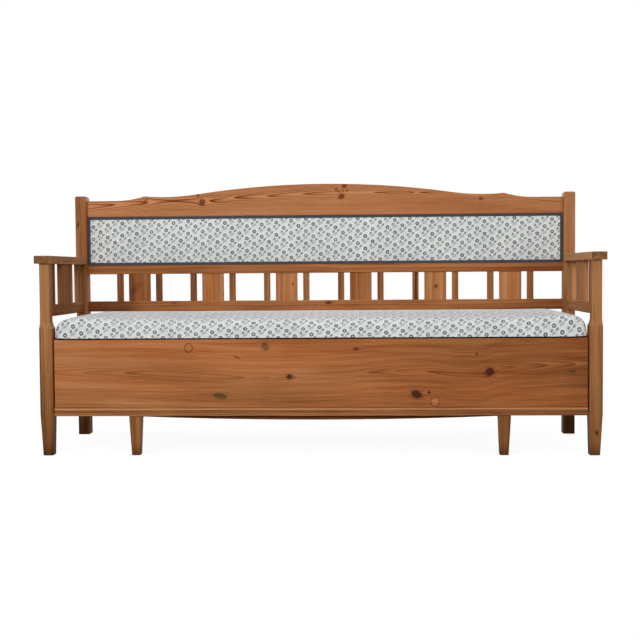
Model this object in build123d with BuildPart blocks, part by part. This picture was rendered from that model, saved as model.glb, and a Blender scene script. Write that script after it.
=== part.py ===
from build123d import *
from collections import namedtuple
import os

os.makedirs("parts", exist_ok=True)

# Pull-out bench bed in pine: a post-and-rail carcass, a front that slides out on its own two
# legs with half of the bed slats, and a loose upholstered seat.
# X runs along the bench, the front faces -Y, Z is up. The origin is on the floor under the
# middle of the bench. All sizes are in millimetres.

# ---------------------------------------------------------------- driving dimensions

# Overall
post_span = 1950.0  # over the outer faces of the posts
carcass_depth = 560.0  # front face of the front posts to back face of the rear posts
joint_gap = 0.2  # room round tenons, tongues and let-in slats
arris = 1.5  # planed off the long edges of every board

# Posts
front_post_width = 46.0
front_post_depth = 46.0
arm_post_width = 34.0  # thinner section that carries the armrest
arm_post_outer_scoop = 2.0
arm_post_front_scoop = 8.0
scoop_bottom = 446.0
side_scoop_height = 32.0
front_scoop_height = 28.0  # ends lower than the side scoops
scoop_ledge = 0.8  # crisp flat lip at the foot of each scoop
front_foot_width = 35.0
front_foot_depth = 38.0
front_foot_inner_taper = 3.0
front_foot_front_taper = 2.0
leg_taper_top = 146.0
rear_post_width = 44.0
rear_post_depth = 50.0
rear_post_height = 940.0
post_arris = 2.0
post_crown = 7.0  # rounding over the top of a rear post

# Back rails and crest
rail_thickness = 24.0
rail_setback = 20.0  # from the front faces of the rear posts
low_rail_bottom = 486.0  # back and arm rails share this level
low_rail_height = 40.0
slat_opening_height = 107.0
middle_rail_height = 34.5
back_panel_height = 191.5
crest_end_height = 63.0
crest_crown_rise = 59.0  # of the middle above the flat ends
crest_cusp_rise = 17.0
crest_turn_drop = 36.5  # from the crown down to where the scoop begins
crest_post_to_cusp = 227.0
crest_foot_run = 113.0  # from the cusp out to the flat end
crest_scoop_run = 204.0  # from the cusp in to the crown curve
tenon_length = 28.0
tenon_thickness = 10.0
tenon_shoulder = 6.0

# Back slats
bay_count = 6
wide_slat_width = 85.0
narrow_slat_width = 24.5
slat_gap = 22.5
slat_thickness = 16.0
slat_setback = 4.0  # behind the face of the rails
slat_let_in = 10.0

# Back panel
back_board_thickness = 8.0
back_board_rear_lip = 6.0  # of rail behind the board's groove
groove_depth = 8.0
back_pad_setback = 1.0  # of the pad's edge behind the rails
back_pad_crown = 8.0
back_pad_slope = 24.0  # from the foot of the crown in to its flat face
back_pad_gap = 0.5
back_pad_corner = 14.0
braid_width = 11.0
braid_thickness = 3.0
peg_diameter = 8.0
peg_length = 26.0
peg_gap = 0.1

# Arms
armrest_height = 700.0
armrest_thickness = 28.0
armrest_width = 55.0
armrest_side_overhang = 13.0
armrest_front_overhang = 6.0
armrest_round = 4.0
armrest_corner = 5.0
arm_tenon_length = 20.0
arm_wide_slat = 156.0
arm_narrow_slat = 38.0
arm_slat_post_gap = 36.0  # from each post to the narrow slat beside it

# Box
box_bottom = 150.0
box_board_thickness = 18.0
slat_level = 185.0  # tops of the runners, stretcher and rear bearer
runner_height = 22.0
runner_ledge = 12.0  # of runner inside the drawer side
rear_bearer_thickness = 20.0
stretcher_setback = 62.0  # behind the front faces of the posts
stretcher_thickness = 30.0
stretcher_height = 40.0
seat_ledge_width = 42.0
seat_ledge_height = 20.0
rear_ledge_width = 22.0

# Bed slats
fixed_slat_count = 9
bed_slat_width = 90.0
bed_slat_thickness = 18.0
end_slat_gap = 4.0
slide_gap = 0.5  # sliding pieces clear what they run on by this much
slat_end_gap = 4.0

# Pull-out
front_panel_bottom = 138.0
front_panel_height = 266.5
front_panel_thickness = 22.0
front_panel_setback = 10.0
front_panel_gap = 4.0  # to each front post
moulding_thickness = 8.0
moulding_height = 31.0
moulding_face_height = 17.0
moulding_round = 2.0  # of its lower front edge
bead_radius = 5.5
quirk_width = 2.0
quirk_depth = 3.0
drawer_side_gap = 6.0
drawer_side_thickness = 18.0
drawer_side_height = 155.0
drawer_side_rear_gap = 10.0  # to the rear bearer
drawer_side_nose = 60.0  # curve at the top of the rear end
pull_leg_width = 42.0
pull_leg_depth = 44.0
pull_leg_setback = 6.0
pull_foot_width = 30.0
pull_foot_depth = 32.0
pull_foot_inner_taper = 4.0
pull_leg_block = 10.0  # square stretch above the taper
pull_leg_height = 330.0
bearer_thickness = 22.0
bearer_bottom = 133.0
bearer_bow = 12.0
outer_bearer_height = 35.0
batten_width = 22.0
batten_height = 22.0
batten_relief = 3.0
batten_relief_side = 5.0
batten_end_gap = 8.0
corner_block_size = 30.0

# Seat
seat_gap = 4.0  # above the front panel
seat_top = 497.0
seat_side_gap = 5.0
seat_front_setback = 4.0
seat_back_gap = 12.0
seat_board_thickness = 18.0
pad_wrap = 6.0  # padding over the edges of the board
pad_skirt_gap = 1.0
pad_pocket_gap = 0.3
pad_end_wall = 20.0  # upright part of each end
pad_shoulder_inset = 28.0  # where the short curve of an end begins
pad_shoulder_drop = 24.0
pad_end_run = 125.0  # from the end in to where the top is level
pad_front_roll = 34.0
pad_back_roll = 30.0
pad_back_drop = 8.0
pad_level_depth = 250.0  # of the top, before it falls to the back
pad_corner = 22.0
cleat_count = 3
cleat_width = 45.0
cleat_height = 18.0
cleat_pitch = 500.0
cleat_end_gap = 60.0

# ---------------------------------------------------------------- derived places

post_outer = post_span / 2
overall_depth = carcass_depth + armrest_front_overhang
front_face = armrest_front_overhang - overall_depth / 2
back_face = overall_depth / 2
front_post_inner = post_outer - front_post_width
front_post_back = front_face + front_post_depth
rear_post_inner = post_outer - rear_post_width
rear_post_front = back_face - rear_post_depth

rail_front = rear_post_front + rail_setback
rail_back = rail_front + rail_thickness
rail_middle = (rail_front + rail_back) / 2
low_rail_top = low_rail_bottom + low_rail_height
middle_rail_bottom = low_rail_top + slat_opening_height
middle_rail_top = middle_rail_bottom + middle_rail_height
crest_bottom = middle_rail_top + back_panel_height
crest_end_top = crest_bottom + crest_end_height

back_board_back = rail_back - back_board_rear_lip
back_board_front = back_board_back - back_board_thickness
back_pad_edge = rail_front + back_pad_setback

armrest_bottom = armrest_height - armrest_thickness
armrest_outer = post_outer + armrest_side_overhang
armrest_inner = armrest_outer - armrest_width
arm_post_outer = post_outer - arm_post_outer_scoop
arm_post_inner = arm_post_outer - arm_post_width
arm_post_front = front_face + arm_post_front_scoop
arm_centre = (arm_post_inner + arm_post_outer) / 2
scoop_top = scoop_bottom + side_scoop_height

end_panel_centre = (front_post_inner + post_outer) / 2
end_panel_inner = end_panel_centre - box_board_thickness / 2
end_panel_outer = end_panel_centre + box_board_thickness / 2
front_panel_front = front_face + front_panel_setback
front_panel_back = front_panel_front + front_panel_thickness
front_panel_top = front_panel_bottom + front_panel_height
front_panel_end = front_post_inner - front_panel_gap
seat_level = front_panel_top + seat_gap
box_back_front = rail_front
box_back_back = box_back_front + box_board_thickness
rear_bearer_front = box_back_front - rear_bearer_thickness
drawer_side_outer = front_post_inner - drawer_side_gap
drawer_side_inner = drawer_side_outer - drawer_side_thickness
drawer_side_back = rear_bearer_front - drawer_side_rear_gap
runner_inner = drawer_side_inner - runner_ledge
stretcher_front = front_face + stretcher_setback
stretcher_back = stretcher_front + stretcher_thickness
stretcher_bottom = slat_level - stretcher_height
seat_ledge_bottom = seat_level - seat_ledge_height
rear_ledge_front = box_back_front - rear_ledge_width
slide_level = slat_level + slide_gap
bearer_back = front_panel_back + bearer_thickness
batten_back = rear_bearer_front - slat_end_gap
batten_front = batten_back - batten_width

# The slats stand at one pitch, fixed ones at every even place and sliding ones between them.
bed_slat_outer = drawer_side_inner - end_slat_gap - bed_slat_width / 2
bed_slat_pitch = bed_slat_outer / (fixed_slat_count - 1)
fixed_slat_places = [
    2 * bed_slat_pitch * (i - (fixed_slat_count - 1) / 2) for i in range(fixed_slat_count)
]
sliding_slat_places = [x + bed_slat_pitch for x in fixed_slat_places[:-1]]
# Each pull-out leg stands in front of the last fixed slat but one.
pull_leg_centre = fixed_slat_places[-2]
pull_leg_inner = pull_leg_centre - pull_leg_width / 2
pull_leg_outer = pull_leg_centre + pull_leg_width / 2

seat_end = front_post_inner - seat_side_gap
seat_front = front_face + seat_front_setback
seat_back = rail_front - seat_back_gap
pad_bottom = seat_level + pad_skirt_gap

# ---------------------------------------------------------------- helpers

# Low and high limits of a block along each axis.
Block = namedtuple("Block", "x y z")


def cut_or_add(block, mode=Mode.ADD):
    middle = tuple((low + high) / 2 for low, high in block)
    with Locations(middle):
        Box(*(high - low for low, high in block), mode=mode)


def grown(block, gap):
    return Block(*((low - gap, high + gap) for low, high in block))


def mirrored(block):
    return Block((-block.x[1], -block.x[0]), block.y, block.z)


def about(centre, size):
    return (centre - size / 2, centre + size / 2)


def elevation(y):
    # Drawing plane that faces the front at depth y: X across, Z up.
    return Plane.XZ.offset(-y)


def save(builder, label):
    builder.part.label = label
    export_step(builder.part, f"parts/{label}.step")


def save_pair(builder, label):
    # The piece as built is the right-hand one; the left-hand one is its mirror image.
    save(builder, f"{label}_right")
    with BuildPart() as left:
        mirror(builder.part, about=Plane.YZ)
    save(left, f"{label}_left")


def board(label, block, long_axis, cuts=()):
    # A plain planed board with its long edges eased, then cut for its neighbours.
    with BuildPart() as plank:
        cut_or_add(block)
        chamfer(plank.edges().filter_by(long_axis), arris)
        for cut in cuts:
            cut_or_add(cut, Mode.SUBTRACT)
    save(plank, label)


# ---------------------------------------------------------------- joints between the pieces


def rail_tenon(z_low, z_high):
    return Block(
        (rear_post_inner, rear_post_inner + tenon_length),
        about(rail_middle, tenon_thickness),
        (z_low, z_high),
    )


crest_tenon = rail_tenon(crest_bottom + groove_depth + tenon_shoulder, crest_end_top - tenon_shoulder)
middle_tenon = rail_tenon(
    middle_rail_bottom + tenon_shoulder,
    middle_rail_top - groove_depth - tenon_shoulder / 2,
)
low_tenon = rail_tenon(low_rail_bottom + tenon_shoulder, low_rail_top - tenon_shoulder)
back_tenons = (crest_tenon, middle_tenon, low_tenon)

arm_rail_z = (low_rail_bottom + tenon_shoulder, low_rail_top - tenon_shoulder)
arm_tenon_x = about(arm_centre, tenon_thickness)
arm_rail_front_tenon = Block(arm_tenon_x, (front_post_back - arm_tenon_length, front_post_back), arm_rail_z)
arm_rail_rear_tenon = Block(arm_tenon_x, (rear_post_front, rear_post_front + arm_tenon_length), arm_rail_z)
armrest_tenon = Block(
    about(arm_centre, 2 * tenon_thickness),
    (rear_post_front, rear_post_front + arm_tenon_length),
    (armrest_bottom + tenon_shoulder, armrest_height - tenon_shoulder),
)
post_top_tenon = Block(
    about(arm_centre, 2 * tenon_thickness),
    about((arm_post_front + front_post_back) / 2, 2 * tenon_thickness),
    (armrest_bottom, armrest_bottom + armrest_thickness / 2),
)

back_board_block = Block(
    (-rear_post_inner - groove_depth, rear_post_inner + groove_depth),
    (back_board_front, back_board_back),
    (middle_rail_top - groove_depth, crest_bottom + groove_depth),
)
box_back_block = Block(
    (-rear_post_inner - groove_depth, rear_post_inner + groove_depth),
    (box_back_front, box_back_back),
    (box_bottom, seat_level),
)
end_panel_block = Block(
    (end_panel_inner, end_panel_outer),
    (front_post_back - groove_depth, rear_post_front + groove_depth),
    (box_bottom, seat_level),
)

# ---------------------------------------------------------------- rear posts


def peg_places():
    # Two pegs lock the crest's tall tenon, one each of the others.
    peg_x = rear_post_inner + tenon_length / 2
    crest_low, crest_high = crest_tenon.z
    quarter = (crest_high - crest_low) / 4
    heights = [crest_low + quarter, crest_high - quarter]
    heights += [sum(tenon.z) / 2 for tenon in (middle_tenon, low_tenon)]
    return [(peg_x, z) for z in heights]


def drill_peg_holes():
    with BuildSketch(elevation(back_face)) as holes:
        with Locations(*peg_places()):
            Circle(peg_diameter / 2 + peg_gap)
        mirror(about=Plane.YZ)
    extrude(holes.sketch, amount=peg_length + peg_gap, mode=Mode.SUBTRACT)


def crowned_side(centre, width):
    # Side view of a rear post, rounded over at its top.
    with Locations((centre, rear_post_height / 2)):
        Rectangle(width, rear_post_height)


with BuildPart() as rear_post:
    cut_or_add(
        Block((rear_post_inner, post_outer), (rear_post_front, back_face), (0, rear_post_height))
    )
    chamfer(rear_post.edges().filter_by(Axis.Z), post_arris)
    with BuildSketch(elevation(back_face)) as front_view:
        crowned_side((rear_post_inner + post_outer) / 2, rear_post_width)
        fillet(front_view.vertices().group_by(Axis.Y)[-1], post_crown)
    extrude(front_view.sketch, amount=rear_post_depth, mode=Mode.INTERSECT)
    with BuildSketch(Plane.YZ.offset(rear_post_inner)) as side_view:
        crowned_side((rear_post_front + back_face) / 2, rear_post_depth)
        fillet(side_view.vertices().group_by(Axis.Y)[-1], post_crown)
    extrude(side_view.sketch, amount=rear_post_width, mode=Mode.INTERSECT)
    chamfer(rear_post.faces().sort_by(Axis.Z)[0].edges(), arris)
    for tenon in (*back_tenons, arm_rail_rear_tenon, armrest_tenon):
        cut_or_add(grown(tenon, joint_gap), Mode.SUBTRACT)
    for panel in (back_board_block, box_back_block, end_panel_block):
        cut_or_add(grown(panel, joint_gap), Mode.SUBTRACT)
    drill_peg_holes()
save_pair(rear_post, "rear_post")

# ---------------------------------------------------------------- front posts

# Seen from the front the post tapers to its foot and is scooped thinner above the box,
# on both sides; seen from the side it is scooped on its front face only.
foot_inner = front_post_inner + front_foot_inner_taper
foot_front = front_face + front_foot_front_taper


def leg_section(z, x, y, width, depth):
    # Cross-section of a post or leg at height z, from its inner front corner, corners eased.
    with BuildSketch(Plane.XY.offset(z)) as section:
        with Locations((x + width / 2, y + depth / 2)):
            Rectangle(width, depth)
        chamfer(section.vertices(), post_arris)
    return section.sketch


def tapered_leg(foot, upper, height):
    # Tapers from the foot section up to the upper section, then runs straight for a height.
    loft(sections=[foot, upper], ruled=True)
    extrude(upper, amount=height)


foot_section = leg_section(0, foot_inner, foot_front, front_foot_width, front_foot_depth)
box_section = leg_section(
    leg_taper_top, front_post_inner, front_face, front_post_width, front_post_depth
)


def scoop_outline(face, scooped_face, height):
    # Wood to remove between a face of the box section and that of the arm section, drawn
    # from the crisp ledge at its foot up a hollow curve that dies into the arm section.
    outside = 2 * face - scooped_face
    inward = 1 if scooped_face > face else -1
    with BuildLine() as outline:
        hollow = TangentArc(
            (scooped_face, scoop_bottom + height),
            (face + inward * scoop_ledge, scoop_bottom),
            tangent=(0, -1),
        )
        Polyline(
            hollow @ 1,
            (outside, scoop_bottom),
            (outside, armrest_height),
            (scooped_face, armrest_height),
            hollow @ 0,
        )
    make_face(outline.edges())


with BuildPart() as front_post:
    tapered_leg(foot_section, box_section, armrest_bottom - leg_taper_top)
    chamfer(front_post.faces().sort_by(Axis.Z)[0].edges(), arris)
    with BuildSketch(elevation(front_post_back + 1)) as side_scoops:
        scoop_outline(front_post_inner, arm_post_inner, side_scoop_height)
        scoop_outline(post_outer, arm_post_outer, side_scoop_height)
    extrude(side_scoops.sketch, amount=front_post_depth + 2, mode=Mode.SUBTRACT)
    with BuildSketch(Plane.YZ.offset(front_post_inner - 1)) as front_scoop:
        scoop_outline(front_face, arm_post_front, front_scoop_height)
    extrude(front_scoop.sketch, amount=front_post_width + 2, mode=Mode.SUBTRACT)
    with BuildSketch(Plane.XY.offset(scoop_top)) as arm_corners:
        with Locations((arm_post_inner, arm_post_front), (arm_post_outer, arm_post_front)):
            RegularPolygon(arris, 4, rotation=0)
    extrude(arm_corners.sketch, amount=armrest_bottom - scoop_top, mode=Mode.SUBTRACT)
    cut_or_add(post_top_tenon)
    cut_or_add(grown(arm_rail_front_tenon, joint_gap), Mode.SUBTRACT)
    cut_or_add(grown(end_panel_block, joint_gap), Mode.SUBTRACT)
save_pair(front_post, "front_post")

# ---------------------------------------------------------------- crest rail

cusp_x = rear_post_inner - crest_post_to_cusp
crest_top = crest_end_top + crest_crown_rise

with BuildPart() as crest_rail:
    with BuildSketch(elevation(rail_back)):
        with BuildLine():
            crown = TangentArc(
                (0, crest_top),
                (cusp_x - crest_scoop_run, crest_top - crest_turn_drop),
                tangent=(1, 0),
            )
            scoop = TangentArc(crown @ 1, (cusp_x, crest_end_top + crest_cusp_rise), tangent=crown % 1)
            upsweep = TangentArc((cusp_x + crest_foot_run, crest_end_top), scoop @ 1, tangent=(-1, 0))
            Polyline(
                upsweep @ 0,
                (rear_post_inner, crest_end_top),
                (rear_post_inner, crest_bottom),
                (0, crest_bottom),
                (0, crest_top),
            )
        make_face()
        mirror(about=Plane.YZ)
    extrude(amount=rail_thickness)
    upper_edges = crest_rail.edges().filter_by(
        lambda edge: edge.center().Z > crest_end_top - 1 and edge.bounding_box().size.Y < 1
    )
    chamfer(upper_edges, arris)
    chamfer(crest_rail.edges().filter_by(Axis.X).group_by(Axis.Z)[0], arris)
    for tenon in (crest_tenon, mirrored(crest_tenon)):
        cut_or_add(tenon)
    cut_or_add(grown(back_board_block, joint_gap), Mode.SUBTRACT)
    drill_peg_holes()
save(crest_rail, "crest_rail")

# ---------------------------------------------------------------- back slats and their rails

bay_width = wide_slat_width + 2 * (slat_gap + narrow_slat_width)
bay_opening = (2 * rear_post_inner - bay_count * bay_width) / (bay_count + 1)
bay_places = [(bay_width + bay_opening) * (i - (bay_count - 1) / 2) for i in range(bay_count)]
narrow_offset = wide_slat_width / 2 + slat_gap + narrow_slat_width / 2
slat_y = (rail_front + slat_setback, rail_front + slat_setback + slat_thickness)
slat_z = (low_rail_top - slat_let_in, middle_rail_bottom + slat_let_in)


def back_slat(x, width):
    return Block(about(x, width), slat_y, slat_z)


wide_slats = [back_slat(x, wide_slat_width) for x in bay_places]
narrow_slats = [
    [back_slat(x + side * narrow_offset, narrow_slat_width) for side in (-1, 1)] for x in bay_places
]
slat_mortises = [
    grown(slat, joint_gap) for slat in wide_slats + [slat for pair in narrow_slats for slat in pair]
]


def back_rail(label, z_low, z_high, tenon, groove=None):
    with BuildPart() as rail:
        cut_or_add(Block((-rear_post_inner, rear_post_inner), (rail_front, rail_back), (z_low, z_high)))
        chamfer(rail.edges().filter_by(Axis.X), arris)
        for one in (tenon, mirrored(tenon)):
            cut_or_add(one)
        for mortise in slat_mortises:
            cut_or_add(mortise, Mode.SUBTRACT)
        if groove:
            cut_or_add(grown(groove, joint_gap), Mode.SUBTRACT)
        drill_peg_holes()
    save(rail, label)


back_rail("middle_rail", middle_rail_bottom, middle_rail_top, middle_tenon, back_board_block)
back_rail("lower_rail", low_rail_bottom, low_rail_top, low_tenon)

for number, (wide, pair) in enumerate(zip(wide_slats, narrow_slats), start=1):
    board(f"wide_slat_{number}", wide, Axis.Z)
    with BuildPart() as narrow_pair:
        for slat in pair:
            cut_or_add(slat)
        chamfer(narrow_pair.edges().filter_by(Axis.Z), arris)
    save(narrow_pair, f"narrow_slats_{number}")

# The pegs are riven eight-sided and driven into round holes.
with BuildPart() as rail_pegs:
    with BuildSketch(elevation(back_face)):
        with Locations(*peg_places()):
            RegularPolygon(peg_diameter / 2, 8)
        mirror(about=Plane.YZ)
    extrude(amount=peg_length)
save(rail_pegs, "rail_pegs")

# ---------------------------------------------------------------- upholstered back panel

panel_middle = (middle_rail_top + crest_bottom) / 2
pad_width = 2 * (rear_post_inner - back_pad_gap)
pad_height = back_panel_height - 2 * back_pad_gap
crown_width = pad_width - 2 * braid_width
crown_height = pad_height - 2 * braid_width

board("back_board", back_board_block, Axis.X)

with BuildPart() as back_pad:
    with BuildSketch(elevation(back_board_front)):
        with Locations((0, panel_middle)):
            RectangleRounded(pad_width, pad_height, back_pad_corner)
    extrude(amount=back_board_front - back_pad_edge)
    with BuildSketch(elevation(back_pad_edge)) as crown_foot:
        with Locations((0, panel_middle)):
            RectangleRounded(crown_width, crown_height, back_pad_corner - braid_width / 2)
    with BuildSketch(elevation(back_pad_edge - back_pad_crown)) as crown_face:
        with Locations((0, panel_middle)):
            RectangleRounded(
                crown_width - 2 * back_pad_slope,
                crown_height - 2 * back_pad_slope,
                back_pad_corner,
            )
    loft(sections=[crown_foot.sketch, crown_face.sketch])
save(back_pad, "back_pad")

with BuildPart() as back_braid:
    with BuildSketch(elevation(back_pad_edge)):
        with Locations((0, panel_middle)):
            RectangleRounded(pad_width, pad_height, back_pad_corner)
            RectangleRounded(
                crown_width + joint_gap,
                crown_height + joint_gap,
                back_pad_corner - braid_width / 2,
                mode=Mode.SUBTRACT,
            )
    extrude(amount=braid_thickness)
save(back_braid, "back_braid")

# ---------------------------------------------------------------- arms

arm_rail_block = Block(
    about(arm_centre, rail_thickness),
    (front_post_back, rear_post_front),
    (low_rail_bottom, low_rail_top),
)
arm_middle = (front_post_back + rear_post_front) / 2
arm_narrow_offset = (
    (rear_post_front - front_post_back) / 2 - arm_slat_post_gap - arm_narrow_slat / 2
)


def arm_slat(y, width):
    return Block(
        about(arm_centre, slat_thickness),
        about(y, width),
        (low_rail_top - slat_let_in, armrest_bottom + slat_let_in),
    )


arm_slats = {
    "arm_slat_front": arm_slat(arm_middle - arm_narrow_offset, arm_narrow_slat),
    "arm_slat_wide": arm_slat(arm_middle, arm_wide_slat),
    "arm_slat_rear": arm_slat(arm_middle + arm_narrow_offset, arm_narrow_slat),
}

for label, slat in arm_slats.items():
    with BuildPart() as one_slat:
        cut_or_add(slat)
        chamfer(one_slat.edges().filter_by(Axis.Z), arris)
    save_pair(one_slat, label)

with BuildPart() as arm_rail:
    cut_or_add(arm_rail_block)
    chamfer(arm_rail.edges().filter_by(Axis.Y), arris)
    cut_or_add(arm_rail_front_tenon)
    cut_or_add(arm_rail_rear_tenon)
    for slat in arm_slats.values():
        cut_or_add(grown(slat, joint_gap), Mode.SUBTRACT)
save_pair(arm_rail, "arm_rail")

armrest_front = front_face - armrest_front_overhang

with BuildPart() as armrest:
    with BuildSketch(Plane.XY.offset(armrest_bottom)) as plan:
        with Locations(((armrest_inner + armrest_outer) / 2, (armrest_front + rear_post_front) / 2)):
            Rectangle(armrest_width, rear_post_front - armrest_front)
        fillet(plan.vertices().group_by(Axis.Y)[0], armrest_corner)
    extrude(amount=armrest_thickness)
    top_edges = armrest.faces().sort_by(Axis.Z)[-1].edges().filter_by(
        lambda edge: edge.center().Y < rear_post_front - 1
    )
    fillet(top_edges, armrest_round)
    under_edges = armrest.faces().sort_by(Axis.Z)[0].edges().filter_by(
        lambda edge: edge.center().Y < rear_post_front - 1
    )
    chamfer(under_edges, arris)
    cut_or_add(armrest_tenon)
    cut_or_add(grown(post_top_tenon, joint_gap), Mode.SUBTRACT)
    for slat in arm_slats.values():
        cut_or_add(grown(slat, joint_gap), Mode.SUBTRACT)
save_pair(armrest, "armrest")

# ---------------------------------------------------------------- box

with BuildPart() as end_panel:
    cut_or_add(end_panel_block)
    chamfer(end_panel.edges().filter_by(Axis.Y), arris)
save_pair(end_panel, "end_panel")

board("box_back", box_back_block, Axis.X)
board(
    "rear_bearer",
    Block(
        (-rear_post_inner, rear_post_inner),
        (rear_bearer_front, box_back_front),
        (box_bottom, slat_level),
    ),
    Axis.X,
)

with BuildPart() as runner:
    cut_or_add(
        Block(
            (runner_inner, end_panel_inner),
            (front_post_back, rear_bearer_front),
            (slat_level - runner_height, slat_level),
        )
    )
    chamfer(runner.edges().filter_by(Axis.Y), arris)
save_pair(runner, "runner")

# The stretcher's ends are halved so that they pass under the runners to the end panels.
with BuildPart() as front_stretcher:
    cut_or_add(
        Block(
            (-end_panel_inner, end_panel_inner),
            (stretcher_front, stretcher_back),
            (stretcher_bottom, slat_level - runner_height),
        )
    )
    cut_or_add(
        Block(
            (-runner_inner, runner_inner),
            (stretcher_front, stretcher_back),
            (stretcher_bottom, slat_level),
        )
    )
    chamfer(front_stretcher.edges().filter_by(Axis.X).group_by(Axis.Z)[-1], arris)
save(front_stretcher, "front_stretcher")

with BuildPart() as seat_ledge:
    cut_or_add(
        Block(
            (end_panel_inner - seat_ledge_width, end_panel_inner),
            (front_post_back, rear_ledge_front),
            (seat_ledge_bottom, seat_level),
        )
    )
    chamfer(seat_ledge.edges().filter_by(Axis.Y), arris)
save_pair(seat_ledge, "seat_ledge")

board(
    "seat_ledge_rear",
    Block(
        (-rear_post_inner, rear_post_inner),
        (rear_ledge_front, box_back_front),
        (seat_ledge_bottom, seat_level),
    ),
    Axis.X,
)

# ---------------------------------------------------------------- interleaved bed slats

fixed_slats = [
    Block(
        about(x, bed_slat_width),
        (stretcher_front, box_back_front),
        (slat_level, slat_level + bed_slat_thickness),
    )
    for x in fixed_slat_places
]
sliding_slats = [
    Block(
        about(x, bed_slat_width),
        (front_panel_back, box_back_front - slat_end_gap),
        (slide_level, slide_level + bed_slat_thickness),
    )
    for x in sliding_slat_places
]

for label, slats in (("fixed_bed_slats", fixed_slats), ("sliding_bed_slats", sliding_slats)):
    with BuildPart() as slat_set:
        for slat in slats:
            cut_or_add(slat)
        chamfer(slat_set.edges().filter_by(Axis.Y), arris)
    save(slat_set, label)

# The batten ties the sliding slats from below and is relieved where a fixed slat crosses it.
with BuildPart() as rear_batten:
    cut_or_add(
        Block(
            (batten_end_gap - runner_inner, runner_inner - batten_end_gap),
            (batten_front, batten_back),
            (slide_level - batten_height, slide_level),
        )
    )
    for x in fixed_slat_places:
        cut_or_add(
            Block(
                about(x, bed_slat_width + 2 * batten_relief_side),
                (batten_front, batten_back),
                (slide_level - batten_relief, slide_level),
            ),
            Mode.SUBTRACT,
        )
save(rear_batten, "rear_batten")

# ---------------------------------------------------------------- pull-out front

board(
    "front_panel",
    Block(
        (-front_panel_end, front_panel_end),
        (front_panel_front, front_panel_back),
        (front_panel_bottom, front_panel_top),
    ),
    Axis.X,
)

# Section of the planted moulding: a flat face, a quirk, and a bead above it.
moulding_face = front_panel_front - moulding_thickness
quirk_top = front_panel_bottom + moulding_face_height + quirk_width
bead_top = quirk_top + 2 * bead_radius

with BuildPart() as front_moulding:
    with BuildSketch(Plane.YZ.offset(-front_panel_end)):
        with BuildLine():
            face = Polyline(
                (front_panel_front, front_panel_bottom),
                (moulding_face, front_panel_bottom),
                (moulding_face, front_panel_bottom + moulding_face_height),
                (moulding_face + quirk_depth, front_panel_bottom + moulding_face_height),
                (moulding_face + bead_radius, quirk_top),
            )
            bead = ThreePointArc(
                face @ 1,
                (moulding_face, quirk_top + bead_radius),
                (moulding_face + bead_radius, bead_top),
            )
            Polyline(
                bead @ 1,
                (front_panel_front, front_panel_bottom + moulding_height),
                face @ 0,
            )
        make_face()
    extrude(amount=2 * front_panel_end)
    lower_edge = front_moulding.edges().filter_by(Axis.X).group_by(Axis.Z)[0].sort_by(Axis.Y)[0]
    fillet(lower_edge, moulding_round)
save(front_moulding, "front_moulding")

# The leg is notched over the panel's foot and runs up behind it.
pull_leg_front = front_face + pull_leg_setback
pull_taper_top = front_panel_bottom - pull_leg_block
pull_foot_inner = pull_leg_inner + pull_foot_inner_taper
pull_foot_section = leg_section(
    0, pull_foot_inner, pull_leg_front, pull_foot_width, pull_foot_depth
)
pull_leg_section = leg_section(
    pull_taper_top, pull_leg_inner, pull_leg_front, pull_leg_width, pull_leg_depth
)

with BuildPart() as pull_leg:
    tapered_leg(pull_foot_section, pull_leg_section, pull_leg_height - pull_taper_top)
    chamfer(pull_leg.faces().sort_by(Axis.Z)[0].edges(), arris)
    cut_or_add(
        Block(
            (pull_leg_inner - 1, pull_leg_outer + 1),
            (pull_leg_front - 1, front_panel_back),
            (front_panel_bottom, pull_leg_height + 1),
        ),
        Mode.SUBTRACT,
    )
save_pair(pull_leg, "pull_leg")

with BuildPart() as bowed_bearer:
    with BuildSketch(elevation(bearer_back)):
        with BuildLine():
            top_line = Polyline(
                (-pull_leg_inner, bearer_bottom),
                (-pull_leg_inner, slide_level),
                (pull_leg_inner, slide_level),
                (pull_leg_inner, bearer_bottom),
            )
            ThreePointArc(top_line @ 1, (0, bearer_bottom - bearer_bow), top_line @ 0)
        make_face()
    extrude(amount=bearer_thickness)
save(bowed_bearer, "bowed_bearer")

with BuildPart() as outer_bearer:
    cut_or_add(
        Block(
            (pull_leg_outer, runner_inner - batten_end_gap / 2),
            (front_panel_back, bearer_back),
            (slide_level - outer_bearer_height, slide_level),
        )
    )
save_pair(outer_bearer, "outer_bearer")

drawer_side_top = slide_level + drawer_side_height

with BuildPart() as drawer_side:
    with BuildSketch(Plane.YZ.offset(drawer_side_inner)) as outline:
        with BuildLine():
            nose = RadiusArc(
                (drawer_side_back, drawer_side_top - drawer_side_nose),
                (drawer_side_back - drawer_side_nose, drawer_side_top),
                -drawer_side_nose,
            )
            Polyline(
                nose @ 1,
                (front_panel_back, drawer_side_top),
                (front_panel_back, slide_level),
                (drawer_side_back, slide_level),
                nose @ 0,
            )
        make_face()
    extrude(amount=drawer_side_thickness)
save_pair(drawer_side, "drawer_side")

# Three-cornered glue blocks in the corners of panel and drawer sides.
with BuildPart() as corner_blocks:
    with BuildSketch(Plane.XY.offset(slide_level + bed_slat_thickness)):
        with BuildLine():
            Polyline(
                (drawer_side_inner, front_panel_back),
                (drawer_side_inner - corner_block_size, front_panel_back),
                (drawer_side_inner, front_panel_back + corner_block_size),
                close=True,
            )
        make_face()
        mirror(about=Plane.YZ)
    extrude(amount=drawer_side_height - 2 * bed_slat_thickness)
save(corner_blocks, "corner_blocks")

# ---------------------------------------------------------------- seat

seat_middle = (seat_front + seat_back) / 2
seat_board_width = 2 * (seat_end - pad_wrap)
seat_board_depth = seat_back - seat_front - 2 * pad_wrap
seat_board_corner = pad_corner - pad_wrap


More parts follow.
